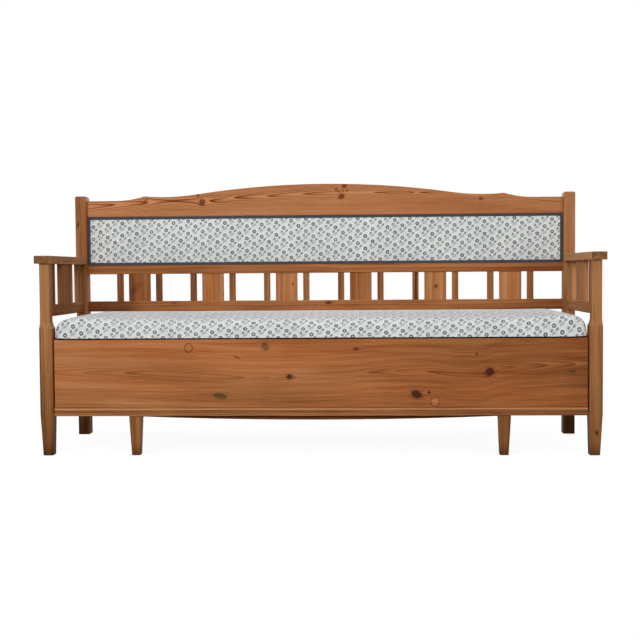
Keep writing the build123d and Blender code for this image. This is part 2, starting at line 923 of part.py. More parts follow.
def board_plan(gap):
    # Plan of the seat board, grown by a gap all round.
    with BuildSketch(Plane.XY.offset(seat_level)) as outline:
        with Locations((0, seat_middle)):
            RectangleRounded(
                seat_board_width + 2 * gap,
                seat_board_depth + 2 * gap,
                seat_board_corner + gap,
            )
    return outline.sketch


with BuildPart() as seat_board:
    extrude(board_plan(0), amount=seat_board_thickness)
    chamfer(seat_board.faces().sort_by(Axis.Z)[-1].edges(), arris)
save(seat_board, "seat_board")

with BuildPart() as seat_cleats:
    for i in range(cleat_count):
        cut_or_add(
            Block(
                about(cleat_pitch * (i - (cleat_count - 1) / 2), cleat_width),
                (seat_front + cleat_end_gap, seat_back - cleat_end_gap / 2),
                (seat_level - cleat_height, seat_level),
            )
        )
    chamfer(seat_cleats.edges().filter_by(Axis.Y).group_by(Axis.Z)[0], arris)
save(seat_cleats, "seat_cleats")

# The pad is the overlap of a plan and two sections: each end falls in one long and one short
# curve to an upright wall, front and back are rolled over, and a pocket below holds the board.
with BuildPart() as seat_pad:
    with BuildSketch(Plane.XY.offset(pad_bottom)) as plan:
        with Locations((0, seat_middle)):
            Rectangle(2 * seat_end, seat_back - seat_front)
        fillet(plan.vertices(), pad_corner)
    extrude(plan.sketch, amount=seat_top - pad_bottom)
    with BuildSketch(elevation(seat_back)) as front_view:
        with BuildLine():
            fall = TangentArc(
                (seat_end - pad_end_run, seat_top),
                (seat_end - pad_shoulder_inset, seat_top - pad_shoulder_drop),
                tangent=(1, 0),
            )
            shoulder = TangentArc(
                fall @ 1,
                (seat_end, pad_bottom + pad_end_wall),
                tangent=fall % 1,
            )
            Polyline(
                shoulder @ 1,
                (seat_end, pad_bottom),
                (0, pad_bottom),
                (0, seat_top),
                fall @ 0,
            )
        make_face()
        mirror(about=Plane.YZ)
    extrude(front_view.sketch, amount=seat_back - seat_front, mode=Mode.INTERSECT)
    with BuildSketch(Plane.YZ.offset(-seat_end)) as side_view:
        with BuildLine():
            Polyline(
                (seat_front, pad_bottom),
                (seat_front, seat_top),
                (seat_front + pad_level_depth, seat_top),
                (seat_back, seat_top - pad_back_drop),
                (seat_back, pad_bottom),
                close=True,
            )
        make_face()
        for edge, roll in ((0, pad_front_roll), (-1, pad_back_roll)):
            upper_corner = side_view.vertices().group_by(Axis.X)[edge].sort_by(Axis.Y)[-1]
            fillet(upper_corner, roll)
    extrude(side_view.sketch, amount=2 * seat_end, mode=Mode.INTERSECT)
    extrude(
        board_plan(pad_pocket_gap),
        amount=seat_board_thickness + pad_pocket_gap,
        mode=Mode.SUBTRACT,
    )
save(seat_pad, "seat_pad")
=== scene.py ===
import bpy
import bmesh
import math
from mathutils import Matrix, Vector


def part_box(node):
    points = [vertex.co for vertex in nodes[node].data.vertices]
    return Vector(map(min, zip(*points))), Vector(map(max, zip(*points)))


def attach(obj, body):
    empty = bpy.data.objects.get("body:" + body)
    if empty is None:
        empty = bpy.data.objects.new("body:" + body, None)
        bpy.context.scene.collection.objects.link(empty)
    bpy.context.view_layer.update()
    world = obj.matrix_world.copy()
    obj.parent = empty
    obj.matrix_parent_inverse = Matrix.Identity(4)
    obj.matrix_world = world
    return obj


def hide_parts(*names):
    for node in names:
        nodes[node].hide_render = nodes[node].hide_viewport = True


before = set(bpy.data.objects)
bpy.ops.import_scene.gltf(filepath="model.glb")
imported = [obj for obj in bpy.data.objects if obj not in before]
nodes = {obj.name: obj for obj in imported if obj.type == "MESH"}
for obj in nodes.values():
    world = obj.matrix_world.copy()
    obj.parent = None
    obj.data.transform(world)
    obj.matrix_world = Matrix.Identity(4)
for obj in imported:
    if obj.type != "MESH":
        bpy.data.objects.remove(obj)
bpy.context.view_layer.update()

print("frame loaded:", len(nodes), "nodes")


# Colours are written as 0-255 display values and turned into the linear ones that shaders use.
def tone(red, green, blue):
    def linear(value):
        value /= 255
        return value / 12.92 if value <= 0.04045 else ((value + 0.055) / 1.055) ** 2.4

    return (linear(red), linear(green), linear(blue), 1.0)


# A wire is one output socket; sums on wires add their Math nodes to the material.
class Wire:
    def __init__(self, shade, socket):
        self.shade = shade
        self.socket = socket

    def math(self, operation, *others):
        values = dict(enumerate((self, *others)))
        return self.shade.add("Math", {"operation": operation}, values)

    def __add__(self, other):
        return self.math("ADD", other)

    def __sub__(self, other):
        return self.math("SUBTRACT", other)

    def __mul__(self, other):
        return self.math("MULTIPLY", other)

    def __truediv__(self, other):
        return self.math("DIVIDE", other)

    def __pow__(self, other):
        return self.math("POWER", other)

    def __rsub__(self, other):
        return self.shade.add("Math", {"operation": "SUBTRACT"}, {0: other, 1: self})

    __radd__ = __add__

    # 0 before start, 1 after end, soft between; start may be the larger
    def fade(self, start, end):
        settings = {"interpolation_type": "SMOOTHSTEP"}
        return self.shade.add("MapRange", settings, {0: self, 1: start, 2: end, 3: 0.0, 4: 1.0})

    def split(self):
        node = self.shade.add("SeparateXYZ", {}, {0: self}).socket.node
        return [Wire(self.shade, socket) for socket in node.outputs]


class Shade:
    def __init__(self, name):
        self.material = bpy.data.materials.new(name)
        self.material.use_nodes = True
        self.tree = self.material.node_tree
        self.tree.nodes.clear()

    # Any node: its type, its settings, then the values or wires of its sockets.
    def add(self, kind, settings, values, output=0):
        node = self.tree.nodes.new("ShaderNode" + kind)
        for key, value in settings.items():
            if key == "stops":
                ramp = node.color_ramp
                while len(ramp.elements) < len(value):
                    ramp.elements.new(0.5)
                for element, (position, colour) in zip(ramp.elements, value):
                    element.position = position
                    element.color = colour
            elif key == "points":
                curve = node.mapping.curves[0]
                while len(curve.points) < len(value):
                    curve.points.new(0.5, 0.5)
                for point, place in zip(curve.points, value):
                    point.location = place
                node.mapping.update()
            else:
                setattr(node, key, value)
        for key, value in values.items():
            if isinstance(value, Wire):
                self.tree.links.new(value.socket, node.inputs[key])
            else:
                node.inputs[key].default_value = value
        return Wire(self, node.outputs[output]) if node.outputs else None

    def place(self):
        return self.add("TexCoord", {}, {}, "Object")

    def point(self, x, y, z=0.0):
        return self.add("CombineXYZ", {}, {0: x, 1: y, 2: z})

    def noise(self, vector, scale=1.0, detail=2.0, roughness=0.5):
        values = {"Vector": vector, "Scale": scale, "Detail": detail, "Roughness": roughness}
        return self.add("TexNoise", {}, values)

    def chance(self, value):
        return self.add("TexWhiteNoise", {"noise_dimensions": "1D"}, {"W": value})

    def mix(self, factor, first, second):
        return self.add("Mix", {"data_type": "RGBA"}, {0: factor, 6: first, 7: second}, 2)

    # A smooth curve through (input, output) pairs, in the units of both.
    def curve(self, value, pairs):
        xs, ys = zip(*pairs)
        low, high = min(ys), max(ys)
        scaled = [((x - xs[0]) / (xs[-1] - xs[0]), (y - low) / (high - low)) for x, y in pairs]
        share = self.add("MapRange", {}, {0: value, 1: xs[0], 2: xs[-1], 3: 0.0, 4: 1.0})
        bent = self.add("FloatCurve", {"points": scaled}, {"Value": share})
        return bent * (high - low) + low

    # Finishes the material with a surface of this colour, roughness and relief.
    def surface(self, colour, roughness, height, depth, strength, **fixed):
        relief = {"Height": height, "Distance": depth, "Strength": strength}
        values = {"Base Color": colour, "Roughness": roughness, "Normal": self.add("Bump", {}, relief)}
        values.update({key.replace("_", " "): value for key, value in fixed.items()})
        shader = self.add("BsdfPrincipled", {}, values)
        self.add("OutputMaterial", {}, {"Surface": shader})
        return self.material


# Light, floor and camera
studio = {
    "ambient": 0.20,
    "ambientLow": 0.04,
    "ambientRise": (-0.1, 0.8),  # it brightens between these heights of the sky
    "keyPlace": (-1.0, -4.2, 1.9),
    "keySize": (3.2, 1.8),
    "keyPower": 165,
    "fillPlace": (2.6, -3.8, 1.5),
    "fillSize": (2.4, 1.6),
    "fillPower": 52,
    "topPlace": (0.0, -1.2, 3.2),
    "topSize": (3.0, 1.4),
    "topPower": 16,
    "backPlace": (0.6, 4.2, 2.0),
    "backSize": (3.0, 1.8),
    "backPower": 120,
    "sidePlace": (4.0, 0.6, 1.3),
    "sideSize": (1.6, 1.6),
    "sidePower": 40,
    "aim": (0.0, 0.0, 0.55),
    "floorSize": 30.0,
    "floorColour": 0.2,
    "floorGlow": 0.88,
    "fadeStart": 1.5,
    "fadeEnd": 3.2,
    "fadeSquash": 2.2,
}


# 1 where the camera, a gloss or a glass looks straight at the surface.
def seenDirectly(shade):
    rays = [shade.add("LightPath", {}, {}, name) for name in ("Is Camera Ray", "Is Glossy Ray")]
    through = shade.add("LightPath", {}, {}, "Is Transmission Ray")
    return rays[0].math("MAXIMUM", rays[1]).math("MAXIMUM", through)


def areaLamp(name, place, size, power):
    lamp = bpy.data.lights.new(name, "AREA")
    lamp.shape = "RECTANGLE"
    lamp.size, lamp.size_y = size
    lamp.energy = power
    holder = bpy.data.objects.new(name, lamp)
    bpy.context.scene.collection.objects.link(holder)
    aim = Vector(studio["aim"]) - Vector(place)
    turned = aim.to_track_quat("-Z", "Y").to_matrix().to_4x4()
    holder.matrix_world = Matrix.Translation(place) @ turned


def makeWorld():
    world = bpy.data.worlds.new("softRoom")
    world.use_nodes = True
    bpy.context.scene.world = world
    shade = Shade.__new__(Shade)
    shade.tree = world.node_tree
    shade.tree.nodes.clear()
    x, y, z = shade.add("TexCoord", {}, {}, "Generated").split()
    low = studio["ambientLow"]
    level = z.fade(*studio["ambientRise"]) * (studio["ambient"] - low) + low
    ambient = shade.add("Background", {}, {"Color": (1, 1, 1, 1), "Strength": level})
    white = shade.add("Background", {}, {"Color": (1, 1, 1, 1), "Strength": 1.0})
    both = shade.add("MixShader", {}, {0: seenDirectly(shade), 1: ambient, 2: white})
    shade.add("OutputWorld", {}, {"Surface": both})


def makeFloor():
    half = studio["floorSize"] / 2
    mesh = bpy.data.meshes.new("floor")
    corners = [(-half, -half, 0), (half, -half, 0), (half, half, 0), (-half, half, 0)]
    mesh.from_pydata(corners, [], [(0, 1, 2, 3)])
    floor = bpy.data.objects.new("floor", mesh)
    bpy.context.scene.collection.objects.link(floor)
    shade = Shade("paleFloor")
    x, y, z = shade.place().split()
    distance = (x * x + y * y * studio["fadeSquash"]).math("SQRT")
    grey = studio["floorColour"]
    matte = shade.add("BsdfDiffuse", {}, {"Color": (grey, grey, grey, 1)})
    seen = seenDirectly(shade)
    glow = shade.add("Emission", {}, {"Color": (1, 1, 1, 1), "Strength": studio["floorGlow"]})
    dark = shade.add("Emission", {}, {"Color": (0, 0, 0, 1), "Strength": 0.0})
    lit = shade.add("AddShader", {}, {0: matte, 1: shade.add("MixShader", {}, {0: seen, 1: dark, 2: glow})})
    white = shade.add("Emission", {}, {"Color": (1, 1, 1, 1), "Strength": 1.0})
    far = distance.fade(studio["fadeStart"], studio["fadeEnd"]) * seen
    shade.add("OutputMaterial", {}, {"Surface": shade.add("MixShader", {}, {0: far, 1: lit, 2: white})})
    mesh.materials.append(shade.material)


camera = {
    "place": (0.1674, -4.0815, 0.6358),
    "turn": 0.0421,
    "tilt": -0.0433,
    "roll": -0.0072,
    "lens": 62.145,
    "sensor": 36.0,
    "farthest": 60.0,
}


def makeCamera():
    data = bpy.data.cameras.new("camera")
    data.lens = camera["lens"]
    data.sensor_width = camera["sensor"]
    data.sensor_fit = "HORIZONTAL"
    data.clip_end = camera["farthest"]
    holder = bpy.data.objects.new("camera", data)
    bpy.context.scene.collection.objects.link(holder)
    turn = Matrix.Rotation(camera["turn"], 4, "Z")
    pitch = Matrix.Rotation(math.pi / 2 + camera["tilt"], 4, "X")
    roll = Matrix.Rotation(camera["roll"], 4, "Z")
    holder.matrix_world = Matrix.Translation(camera["place"]) @ turn @ pitch @ roll
    bpy.context.scene.camera = holder


makeWorld()
makeFloor()
makeCamera()
for name in ("key", "fill", "top", "back"):
    areaLamp(name + "Lamp", studio[name + "Place"], studio[name + "Size"], studio[name + "Power"])
for side, name in ((-1, "leftLamp"), (1, "rightLamp")):
    x, y, z = studio["sidePlace"]
    areaLamp(name, (side * x, y, z), studio["sideSize"], studio["sidePower"])
bpy.context.scene.view_settings.view_transform = "Standard"
print("studio ready")


# Pine, cut from a log: rings round a wandering pith, dark latewood lines, fibre, broad zones of
# colour, and knots that push the grain aside.
pineTones = {
    "pale": tone(197, 141, 96),
    "mid": tone(161, 102, 59),
    "deep": tone(109, 57, 25),
    "knot": tone(65, 33, 19),
    "olive": tone(169, 131, 92),
    "oliveMid": tone(126, 90, 52),
    "oliveDeep": tone(61, 43, 24),
    "grimeAndShade": tone(50, 25, 9),
}

# What a look says where a board's own table says nothing
plainLook = {
    "seed": 0.0,  # shifts every noise of the board
    "mirrored": False,  # both ends of the bench are cut alike
    "rowShift": 0.5,  # where the cells of a row start
    "spread": 0.12,  # how far the boards of a row shift
    "toneSpread": 0.2,  # and how far their tones differ
    "pithAcross": 0.0,  # the heart of the log, as a value or a curve
    "pithDepth": 0.03,
    "wander": 0.05,  # how far the heart strays
    "rise": 0.02,
    "ripple": 0.016,
    "ring": 0.0042,  # the width of one year
    "phase": 0.0,
    "uneven": 0.8,  # 0 makes all years alike
    "sharp": 2.2,  # how thin the latewood lines are
    "late": 0.55,  # from here to rim: how dark each mark is
    "broad": 0.6,
    "fibre": 0.18,
    "streak": 0.55,
    "cloud": 0.45,
    "fill": 0.72,
    "rim": 0.5,
    "darkness": 0.4,  # 0 is pale, 1 is as dark as a knot
    "end": 0.22,  # how much darker the end grain is
    "worn": 0.05,  # how much paler the upper faces are, partly wear and partly painted light on the tops
    "zones": [],  # (axis, low, high, soft, darker)
    "tones": {},
    "olive": 0.4,  # patches that turn to olive
    "tan": 0.0,  # and an even share of it
    "roughness": 0.42,
    "gloss": 0.04,
}

# Noises in the wood: how fine they are along and across it, their detail and roughness
grains = {
    "fibre": (9.0, 420.0, 2, 0.5),
    "streak": (2.6, 75.0, 3, 0.62),
    "cloud": (2.2, 8.0, 2, 0.5),
    "zone": (1.15, 7.0, 2, 0.5),
    "smudge": (5.0, 9.0, 2, 0.5),
}

# What all boards have in common
wood = {
    "cellStep": 7.13,  # these two keep the random numbers of a row apart
    "drawStep": 31.7,
    "alongSpread": 4.0,
    "depthSpread": 0.03,
    "wanderScale": 0.9,
    "riseScale": 1.4,
    "riseStart": 3.7,
    "rippleScale": (2.2, 11.0),  # along and across
    "rippleDetail": 2.5,
    "lateLevel": 1.1,
    "lateEnd": (1.0, 0.9),  # a latewood line stops short at the end of its year
    "broadScale": (0.24, 0.7),  # by the year and along
    "endFacing": (0.5, 0.9),
    "upFacing": (0.1, 0.8),
    "stops": {"pale": 0.0, "mid": 0.42, "deep": 0.78, "knot": 1.0},
    "oliveStops": {"olive": 0.0, "oliveMid": 0.5, "oliveDeep": 1.0},
    "oliveShift": 0.1,
    "oliveZone": (0.44, 0.70),
    "oliveMost": 0.85,
    "stain": 0.7,
    "scuffAndShadeLevel": 0.8,
    "scuffAndShadeMost": 0.92,
    "smudgeRough": 0.16,
    "fibreRough": 0.1,
    "lateRelief": 0.5,
    "fibreRelief": 0.6,
    "streakRelief": 0.5,
    "relief": (0.0006, 0.6),  # its depth and strength
}

knotLook = {
    "fray": (110.0, 150.0, 90.0),  # how fine the ragged edge is along, across and into the wood
    "frayDepth": 1.4,
    "bend": -0.16,  # how soon the push on the grain dies away
    "bendMost": 0.8,
    "years": 11.0,  # rings inside the knot
    "yearDepth": 0.12,
    "fillEdge": (1.5, 0.6),  # squared distances, in radii of the knot
    "haloEdge": (5.0, 0.8),
    "haloDepth": 0.22,
    "rimInner": (0.5, 1.0),
    "rimOuter": (1.7, 1.1),
    "stainEdge": (3.2, 0.5),
}


# Each knot is (along, across, length, height, lean, fill, rim, olive). Returns the across
# coordinate bent round the knots and the summed fill, rim and olive stain.
def aroundKnots(shade, along, across, bent, depth, knots):
    fill, rim, stain = 0.0, 0.0, 0.0
    fineAlong, fineAcross, fineDepth = knotLook["fray"]
    place = shade.point(along * fineAlong, across * fineAcross, depth * fineDepth)
    frayed = shade.noise(place, 1.0, 2) - 0.5
    for x, z, length, height, lean, filled, rimmed, stained in knots:
        dx, dz = along - x, across - z
        sideways = dz
        if lean:
            cosine, sine = math.cos(lean), math.sin(lean)
            dx, dz = dx * cosine + dz * sine, dz * cosine - dx * sine
        dx, dz = dx * (2 / length), dz * (2 / height)
        square = dx * dx + dz * dz
        push = (square * knotLook["bend"]).math("EXPONENT")
        bent = bent - sideways * push * min(knotLook["bendMost"], abs(filled) + rimmed)
        ragged = square * (frayed * knotLook["frayDepth"] + 1.0)
        year = (ragged.math("SQRT") * knotLook["years"]).math("SINE") * knotLook["yearDepth"] + 1.0
        halo = square.fade(*knotLook["haloEdge"]) * filled * knotLook["haloDepth"]
        fill = fill + ragged.fade(*knotLook["fillEdge"]) * year * filled + halo
        if rimmed:
            edge = ragged.fade(*knotLook["rimInner"]) * ragged.fade(*knotLook["rimOuter"])
            rim = rim + edge * rimmed
        if stained:
            stain = stain + ragged.fade(*knotLook["stainEdge"]) * stained
    return bent, fill, rim, stain


def pine(name, look, knots=()):
    look = {**plainLook, **look}
    shade = Shade(name)
    axes = dict(zip("xyz", shade.place().split()))
    along, across, depth = (axes[letter] for letter in look["axes"])
    seed = look["seed"]

    def grain(name, start=0.0):
        lengthwise, crosswise, detail, roughness = grains[name]
        place = shade.point(along * lengthwise + start, across * crosswise, depth * crosswise)
        return shade.noise(place, 1.0, detail, roughness)

    if look["mirrored"]:
        depth = depth.math("ABSOLUTE")
    fieldAlong, fieldAcross, shift = along, across, 0.0
    if "pitch" in look:  # pieces in a row come from different boards
        cell = (axes[look["row"]] / look["pitch"] + look["rowShift"]).math("FLOOR")
        draws = [cell * wood["cellStep"] + seed + i * wood["drawStep"] for i in range(3)]
        first, second, third = (shade.chance(draw) for draw in draws)
        across = across - cell * look["pitch"] * (look["axes"][1] == look["row"])
        across = across + (first - 0.5) * look["spread"]
        depth = depth + (second - 0.5) * wood["depthSpread"]
        along = along + third * wood["alongSpread"]
        shift = (third - 0.5) * look["toneSpread"]
    bent, fill, rim, stain = aroundKnots(shade, fieldAlong, fieldAcross, across, depth, knots)

    pithAcross = look["pithAcross"]
    pithDepth = look["pithDepth"]
    if isinstance(pithAcross, list):
        pithAcross = shade.curve(along, pithAcross)
    if isinstance(pithDepth, list):
        pithDepth = shade.curve(along, pithDepth)
    wander = shade.noise(shade.point(along * wood["wanderScale"] + seed, 0.0), 1.0, 1) - 0.5
    riseStart = wood["riseStart"] + seed
    rise = shade.noise(shade.point(along * wood["riseScale"], riseStart), 1.0, 1) - 0.5
    lengthwise, crosswise = wood["rippleScale"]
    place = shade.point(along * lengthwise, across * crosswise, depth * crosswise + seed)
    ripple = shade.noise(place, 1.0, wood["rippleDetail"]) - 0.5
    sideways = bent - pithAcross + wander * look["wander"] + ripple * look["ripple"]
    below = rise * look["rise"] + depth - look["face"] + pithDepth
    below = below + ripple * (look["ripple"] / 2)
    radius = (sideways * sideways + below * below).math("SQRT")
    count = radius / look["ring"] + look["phase"]
    part = count.math("FRACT")
    uneven = look["uneven"]
    each = shade.chance(count.math("FLOOR") + seed) * uneven + (wood["lateLevel"] - uneven)
    late = (part ** look["sharp"]) * part.fade(*wood["lateEnd"]) * each
    byYear, lengthwise = wood["broadScale"]
    broad = shade.noise(shade.point(count * byYear, along * lengthwise, seed), 1.0, 2) - 0.5

    fibre = grain("fibre") - 0.5
    streak = grain("streak", seed) - 0.5
    cloud = grain("cloud", seed) - 0.5
    zone = grain("zone", seed)
    dark = late * look["late"] + broad * look["broad"] + fibre * look["fibre"]
    dark = dark + streak * look["streak"] + cloud * look["cloud"]
    dark = dark + look["darkness"] + shift + fill * look["fill"] + rim * look["rim"]
    facing = dict(zip("xyz", shade.add("TexCoord", {}, {}, "Normal").split()))
    endGrain = facing[look["axes"][0]].math("ABSOLUTE").fade(*wood["endFacing"])
    # Upper faces are paler: partly wear, partly painted light from above.
    dark = dark + endGrain * look["end"] - facing["z"].fade(*wood["upFacing"]) * look["worn"]
    for axis, low, high, soft, darker in look["zones"]:  # stretches that are darker or lighter
        dark = dark + axes[axis].fade(low - soft, low) * axes[axis].fade(high + soft, high) * darker
    if "fall" in look:  # one end of the board is darker than the other
        dark = dark + fieldAlong * look["fall"]
    if "tilt" in look:  # and so is one side of the bench
        dark = dark + axes["x"] * look["tilt"]

    tones = {**pineTones, **look["tones"]}
    stops = [(place, tones[name]) for name, place in wood["stops"].items()]
    colour = shade.add("ValToRGB", {"stops": stops}, {0: dark})
    oliveStops = [(place, tones[name]) for name, place in wood["oliveStops"].items()]
    oliveTone = shade.add("ValToRGB", {"stops": oliveStops}, {0: dark - wood["oliveShift"]})
    green = zone.fade(*wood["oliveZone"]) * look["olive"] + look["tan"] + stain * wood["stain"]
    colour = shade.mix(green.math("MINIMUM", wood["oliveMost"]), colour, oliveTone)
    if "foot" in look:  # scuffed and grimy just above the floor; where it reaches higher, as on the rear posts, it is painted shade under the bench
        height, strength = look["foot"]
        scuffAndShade = axes["z"].fade(height, 0.0) * (streak + wood["scuffAndShadeLevel"])
        scuffAndShade = (scuffAndShade * strength).math("MINIMUM", wood["scuffAndShadeMost"])
        colour = shade.mix(scuffAndShade, colour, tones["grimeAndShade"])

    smudge = grain("smudge")
    roughness = smudge * wood["smudgeRough"] + fibre * wood["fibreRough"] + look["roughness"]
    height = late * wood["lateRelief"] + fibre * wood["fibreRelief"] + streak * wood["streakRelief"]
    gloss = {"Specular_IOR_Level": look["gloss"]}
    return shade.surface(colour, roughness, height, *wood["relief"], **gloss)


# The front board, with its knots at (along, up, width, height, angle, fill, rim, olive)
panelKnots = [
    (-0.452, 0.376, 0.027, 0.028, 0.0, 0.02, 0.55, 0.1),
    (-0.185, 0.378, 0.023, 0.026, 0.5, 0.35, 0.1, 0.9),
    (-0.284, 0.342, 0.024, 0.005, -0.35, 0.45, 0.0, 0.3),
    (-0.101, 0.274, 0.017, 0.014, 0.0, 0.75, 0.1, 0.5),
    (-0.343, 0.207, 0.044, 0.019, -0.15, 0.42, 0.1, 1.0),
    (0.131, 0.369, 0.018, 0.009, 0.1, 0.35, 0.0, 0.2),
    (0.339, 0.212, 0.030, 0.021, -0.3, 0.85, 0.2, 0.1),
    (0.382, 0.218, 0.010, 0.008, 0.0, 0.6, 0.0, 0.0),
    (0.403, 0.186, 0.029, 0.029, 0.0, -0.18, 0.5, 0.1),
    (0.592, 0.289, 0.025, 0.025, 0.0, 0.62, 0.15, 0.0),
    (0.875, 0.289, 0.018, 0.008, 0.0, 0.3, 0.0, 0.8),
    (0.546, 0.351, 0.007, 0.009, 0.0, 0.4, 0.0, 0.1),
]
panelLook = {
    "axes": "xzy",
    "face": -0.267,
    "seed": 2.3,
    "pithAcross": [
        (-0.925, 0.293), (-0.7, 0.290), (-0.45, 0.281), (-0.2, 0.271), (0.05, 0.276), (0.3, 0.292),
        (0.44, 0.285), (0.52, 0.279), (0.62, 0.300), (0.78, 0.312), (0.925, 0.316),
    ],
    "pithDepth": [
        (-0.925, 0.021), (-0.7, 0.0145), (-0.45, 0.0100), (-0.2, 0.017), (0.05, 0.024), (0.3, 0.016),
        (0.44, 0.011), (0.52, 0.010), (0.62, 0.015), (0.78, 0.022), (0.925, 0.030),
    ],
    "ring": 0.0046,
    "wander": 0.006,
    "rise": 0.004,
    "ripple": 0.010,
    "darkness": 0.45,
    # the board darker towards the right: partly its own tone, partly painted light falling from the left
    "fall": 0.11,
    "late": 0.32,
    "broad": 0.42,
    "streak": 0.45,
    "cloud": 0.5,
    "olive": 0.40,
    "tones": {"mid": tone(162, 98, 55)},
}

# The crest, sawn close to the middle of the log
crestKnots = [
    (-0.475, 0.914, 0.021, 0.021, 0.0, 0.5, 0.25, 0.3),
    (-0.492, 0.941, 0.010, 0.010, 0.0, 0.45, 0.0, 0.2),
    (0.084, 0.972, 0.017, 0.013, 0.5, 0.55, 0.1, 0.0),
    (0.052, 0.958, 0.010, 0.009, 0.8, 0.4, 0.0, 0.0),
    (0.062, 0.950, 0.012, 0.007, -0.4, 0.35, 0.0, 0.0),
    (0.078, 0.951, 0.008, 0.008, 0.0, 0.4, 0.0, 0.0),
    (0.094, 0.953, 0.008, 0.010, 0.3, 0.35, 0.0, 0.0),
    (0.072, 0.931, 0.022, 0.017, 0.4, 0.6, 0.15, 0.1),
    (-0.700, 0.922, 0.022, 0.008, 0.5, 0.35, 0.0, 0.1),
    (0.615, 0.917, 0.015, 0.010, 0.3, 0.45, 0.0, 0.1),
]
crestLook = {
    "axes": "xzy",
    "face": 0.253,
    "seed": 5.1,
    "pithAcross": [
        (-0.931, 0.900), (-0.70, 0.914), (-0.60, 0.919), (-0.438, 0.918), (-0.341, 0.931),
        (-0.206, 0.935), (-0.058, 0.942), (0.294, 0.9445), (0.385, 0.943), (0.70, 0.920), (0.931, 0.902),
    ],
    "pithDepth": [
        (-0.931, 0.0160), (-0.70, 0.0225), (-0.60, 0.0265), (-0.52, 0.0256), (-0.438, 0.0225),
        (-0.341, 0.0185), (-0.206, 0.0145), (-0.13, 0.0123), (-0.058, 0.0105), (0.05, 0.0086),
        (0.16, 0.0076), (0.242, 0.0058), (0.294, 0.0050), (0.345, 0.0058), (0.362, 0.0070),
        (0.385, 0.0065), (0.45, 0.0050), (0.70, 0.0025), (0.931, 0.0020),
    ],
    "ring": 0.004,
    "phase": 0.25,
    "wander": 0.0,
    "rise": 0.0,
    "ripple": 0.003,
    "uneven": 0.3,
    "sharp": 3.4,
    "late": 0.85,
    "streak": 0.34,
    "broad": 0.25,
    "cloud": 0.3,
    "darkness": 0.34,
    "fall": 0.04,
    "olive": 0.15,
    "tones": {"pale": tone(205, 148, 107), "mid": tone(176, 115, 72), "knot": tone(104, 48, 24)},
}

# Boards with a material of their own: look and knots
boards = {
    "front_panel": (panelLook, panelKnots),
    "crest_rail": (crestLook, crestKnots),
    "middle_rail": ({
        "axes": "xzy", "face": 0.253, "pithAcross": 0.61, "pithDepth": 0.02, "seed": 8.0,
        "darkness": 0.49, "wander": 0.03, "olive": 0.25,
    }, ()),
    "lower_rail": ({
        "axes": "xzy", "face": 0.253, "pithAcross": 0.55, "pithDepth": 0.015, "seed": 9.4,
        "darkness": 0.50, "wander": 0.03, "olive": 0.2,
        "zones": [
            # painted shadow: the left end of the rail is darker, under the left arm
            ("x", -1.2, -0.80, 0.1, 0.24),
        ],
    }, [
        (0.019, 0.516, 0.024, 0.010, 0.0, 0.5, 0.0, 0.0),
        (-0.592, 0.518, 0.018, 0.007, 0.0, 0.35, 0.0, 0.0),
    ]),
    "front_moulding": ({
        "axes": "xzy", "face": -0.275, "pithAcross": 0.10, "pithDepth": 0.04, "seed": 3.2,
        "darkness": 0.44, "streak": 0.5, "olive": 0.6, "tan": 0.2, "worn": 0.0,
        "zones": [
            # painted shade on the ledge below the bead
            ("z", 0.1500, 0.1560, 0.001, 0.08),
            # painted highlight along the bead
            ("z", 0.1570, 0.1630, 0.001, -0.50),
            # painted shade in the line above the bead
            ("z", 0.1665, 0.1720, 0.001, 0.12),
            ("x", -1.2, -0.55, 0.2, -0.10),
        ],
    }, ()),
    "bowed_bearer": ({
        "axes": "xzy", "face": -0.245, "pithAcross": 0.2, "pithDepth": 0.03, "seed": 1.2,
        # the higher darkness is painted shade under the front board
        "darkness": 0.62, "olive": 0.2,
    }, ()),
    "front_post_left": ({
        "axes": "zxy", "face": -0.277, "pithAcross": -0.99, "pithDepth": 0.05, "seed": 4.4,
        "darkness": 0.76, "fall": -0.5, "late": 0.35, "olive": 0.4, "tan": 0.35,
        "foot": (0.05, 0.8),
    }, ()),
    "front_post_right": ({
        "axes": "zxy", "face": -0.277, "pithAcross": 0.99, "pithDepth": 0.05, "seed": 6.4,
        "darkness": 0.70, "fall": -0.35, "late": 0.35, "olive": 0.4, "tan": 0.5,
        "foot": (0.05, 0.8),
    }, [
        (0.078, 0.955, 0.016, 0.010, 0.0, 0.6, 0.0, 0.3),
    ]),
    "rear_post_left": ({
        "axes": "zxy", "face": 0.233, "pithAcross": -0.97, "pithDepth": 0.05, "seed": 7.4,
        # foot reaches 0.3 m here: painted shade on the feet under the bench
        "darkness": 0.56, "late": 0.35, "olive": 0.3, "tan": 0.25, "foot": (0.3, 1.0),
    }, [
        (0.828, -0.964, 0.022, 0.006, 0.2, 0.6, 0.0, 0.0),
    ]),
    "rear_post_right": ({
        "axes": "zxy", "face": 0.233, "pithAcross": 0.93, "pithDepth": 0.05, "seed": 1.9,
        # foot reaches 0.3 m here: painted shade on the feet under the bench
        "darkness": 0.38, "late": 0.35, "olive": 0.3, "tan": 0.3, "foot": (0.3, 1.0),
    }, ()),
    "armrest_left": ({
        "axes": "yxz", "face": 0.7, "pithAcross": -0.96, "pithDepth": 0.03, "seed": 2.9,
        "darkness": 0.28, "olive": 0.5, "tan": 0.4, "end": 0.34,
    }, ()),
    "armrest_right": ({
        "axes": "yxz", "face": 0.7, "pithAcross": 0.96, "pithDepth": 0.03, "seed": 3.9,
        "darkness": -0.06, "olive": 0.5, "tan": 0.4, "end": 0.72,
    }, ()),
}

